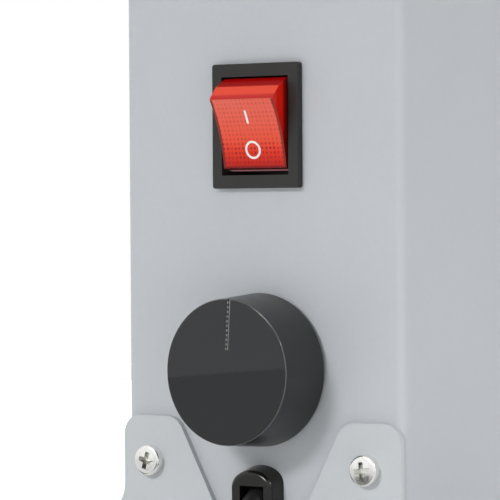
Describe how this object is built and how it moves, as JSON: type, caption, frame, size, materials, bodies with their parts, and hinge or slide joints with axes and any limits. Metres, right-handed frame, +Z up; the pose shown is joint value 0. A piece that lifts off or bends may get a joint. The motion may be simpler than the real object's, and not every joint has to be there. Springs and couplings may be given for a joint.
{
  "type": "filament dryer box",
  "caption": "Narrow sheet-metal dryer box on flared feet, with a red rocker switch, a heat knob, a mains cord, a hinged lid, a side window and rollers for a filament spool.",
  "frame": {"origin": "on the floor, under the middle of the object's box without its cord", "axes": "+X to the window side, -Y out of the control end, +Z up"},
  "size_m": [0.208, 0.4614, 0.301],
  "materials": {
    "powder_coat": "fine satin powder coat, light grey",
    "foot_coat": "fine satin powder coat, light grey",
    "zinc_steel": "bright zinc plate",
    "galvanised": "plain galvanised sheet",
    "black_knob": "moulded black thermoset with a satin face",
    "black_plastic": "moulded black nylon",
    "red_lens": "translucent red with a prism grid",
    "white_plastic": "heat-resistant moulding",
    "clear_pane": "clear polycarbonate",
    "black_rubber": "matt black",
    "grey_foam": "closed-cell strip",
    "tyre_rubber": "soft matt",
    "fin_aluminium": "plain",
    "brass": "plain",
    "cord_jacket": "smooth flexible jacket"
  },
  "bodies": {
    "root": {"body_shell": "powder_coat", "rear_panel": "powder_coat", "base_pan": "galvanised", "control_partition": "galvanised", "air_deck": "galvanised", "cabinet_screws": "zinc_steel", "window_pane": "clear_pane", "window_seal": "black_rubber", "lid_gasket": "grey_foam", "hinge_pins": "zinc_steel", "body_leaf_rivets": "zinc_steel", "magnet_catches": "black_plastic", "front_foot": "foot_coat", "rear_foot": "foot_coat", "foot_screws": "zinc_steel", "foot_nuts": "zinc_steel", "foot_pads": "black_rubber", "switch_housing": "black_plastic", "switch_terminals": "brass", "thermostat_body": "white_plastic", "sensing_bulb": "brass", "left_roller_cradle": "galvanised", "right_roller_cradle": "galvanised", "roller_bushes": "white_plastic", "fan_frame": "black_plastic", "ptc_heater": "fin_aluminium", "heater_end_caps": "white_plastic", "heater_brackets": "galvanised", "thermal_cutout": "fin_aluminium", "filament_outlet": "brass", "outlet_nut": "brass", "cord_bushing": "black_plastic", "bushing_nut": "black_plastic", "terminal_block": "white_plastic", "inner_wires": "cord_jacket", "cord_lead": "cord_jacket", "cord_coil": "cord_jacket", "cord_tail": "cord_jacket", "cord_tie": "black_plastic", "plug_body": "cord_jacket", "plug_pins": "brass", "front_hinge_body_leaf": "zinc_steel", "rear_hinge_body_leaf": "zinc_steel"},
    "lid": {"lid": "powder_coat", "lid_pull": "black_plastic", "pull_screws": "zinc_steel", "lid_leaf_rivets": "zinc_steel", "front_hinge_lid_leaf": "zinc_steel", "rear_hinge_lid_leaf": "zinc_steel"},
    "rocker": {"switch_rocker": "red_lens"},
    "knob": {"control_knob": "black_knob", "thermostat_shaft": "zinc_steel"},
    "front_roller": {"front_roller_axle": "zinc_steel", "front_roller_core": "white_plastic", "front_roller_tyres": "tyre_rubber"},
    "rear_roller": {"rear_roller_axle": "zinc_steel", "rear_roller_core": "white_plastic", "rear_roller_tyres": "tyre_rubber"},
    "fan": {"fan_rotor": "black_plastic"}
  },
  "joints": [
    {"name": "rocker_tilt", "type": "hinge", "parent": "root", "child": "rocker", "pos_m": [-0.00025, -0.12975, 0.1336], "axis": [-1, 0, 0], "range_deg": [0, 38.8]},
    {"name": "knob_turn", "type": "hinge", "parent": "root", "child": "knob", "pos_m": [0.00045, -0.13055, 0.073], "axis": [0, 1, 0], "range_deg": [0, 270]},
    {"name": "lid_hinge", "type": "hinge", "parent": "root", "child": "lid", "pos_m": [-0.0452, 0.00095, 0.285], "axis": [0, -1, 0], "range_deg": [0, 110]},
    {"name": "front_roller_spin", "type": "hinge", "parent": "root", "child": "front_roller", "pos_m": [0, -0.03055, 0.082], "axis": [1, 0, 0], "continuous": true},
    {"name": "rear_roller_spin", "type": "hinge", "parent": "root", "child": "rear_roller", "pos_m": [0, 0.07945, 0.082], "axis": [1, 0, 0], "continuous": true},
    {"name": "fan_spin", "type": "hinge", "parent": "root", "child": "fan", "pos_m": [0, 0.02445, 0.03], "axis": [0, 0, 1], "continuous": true}
  ]
}
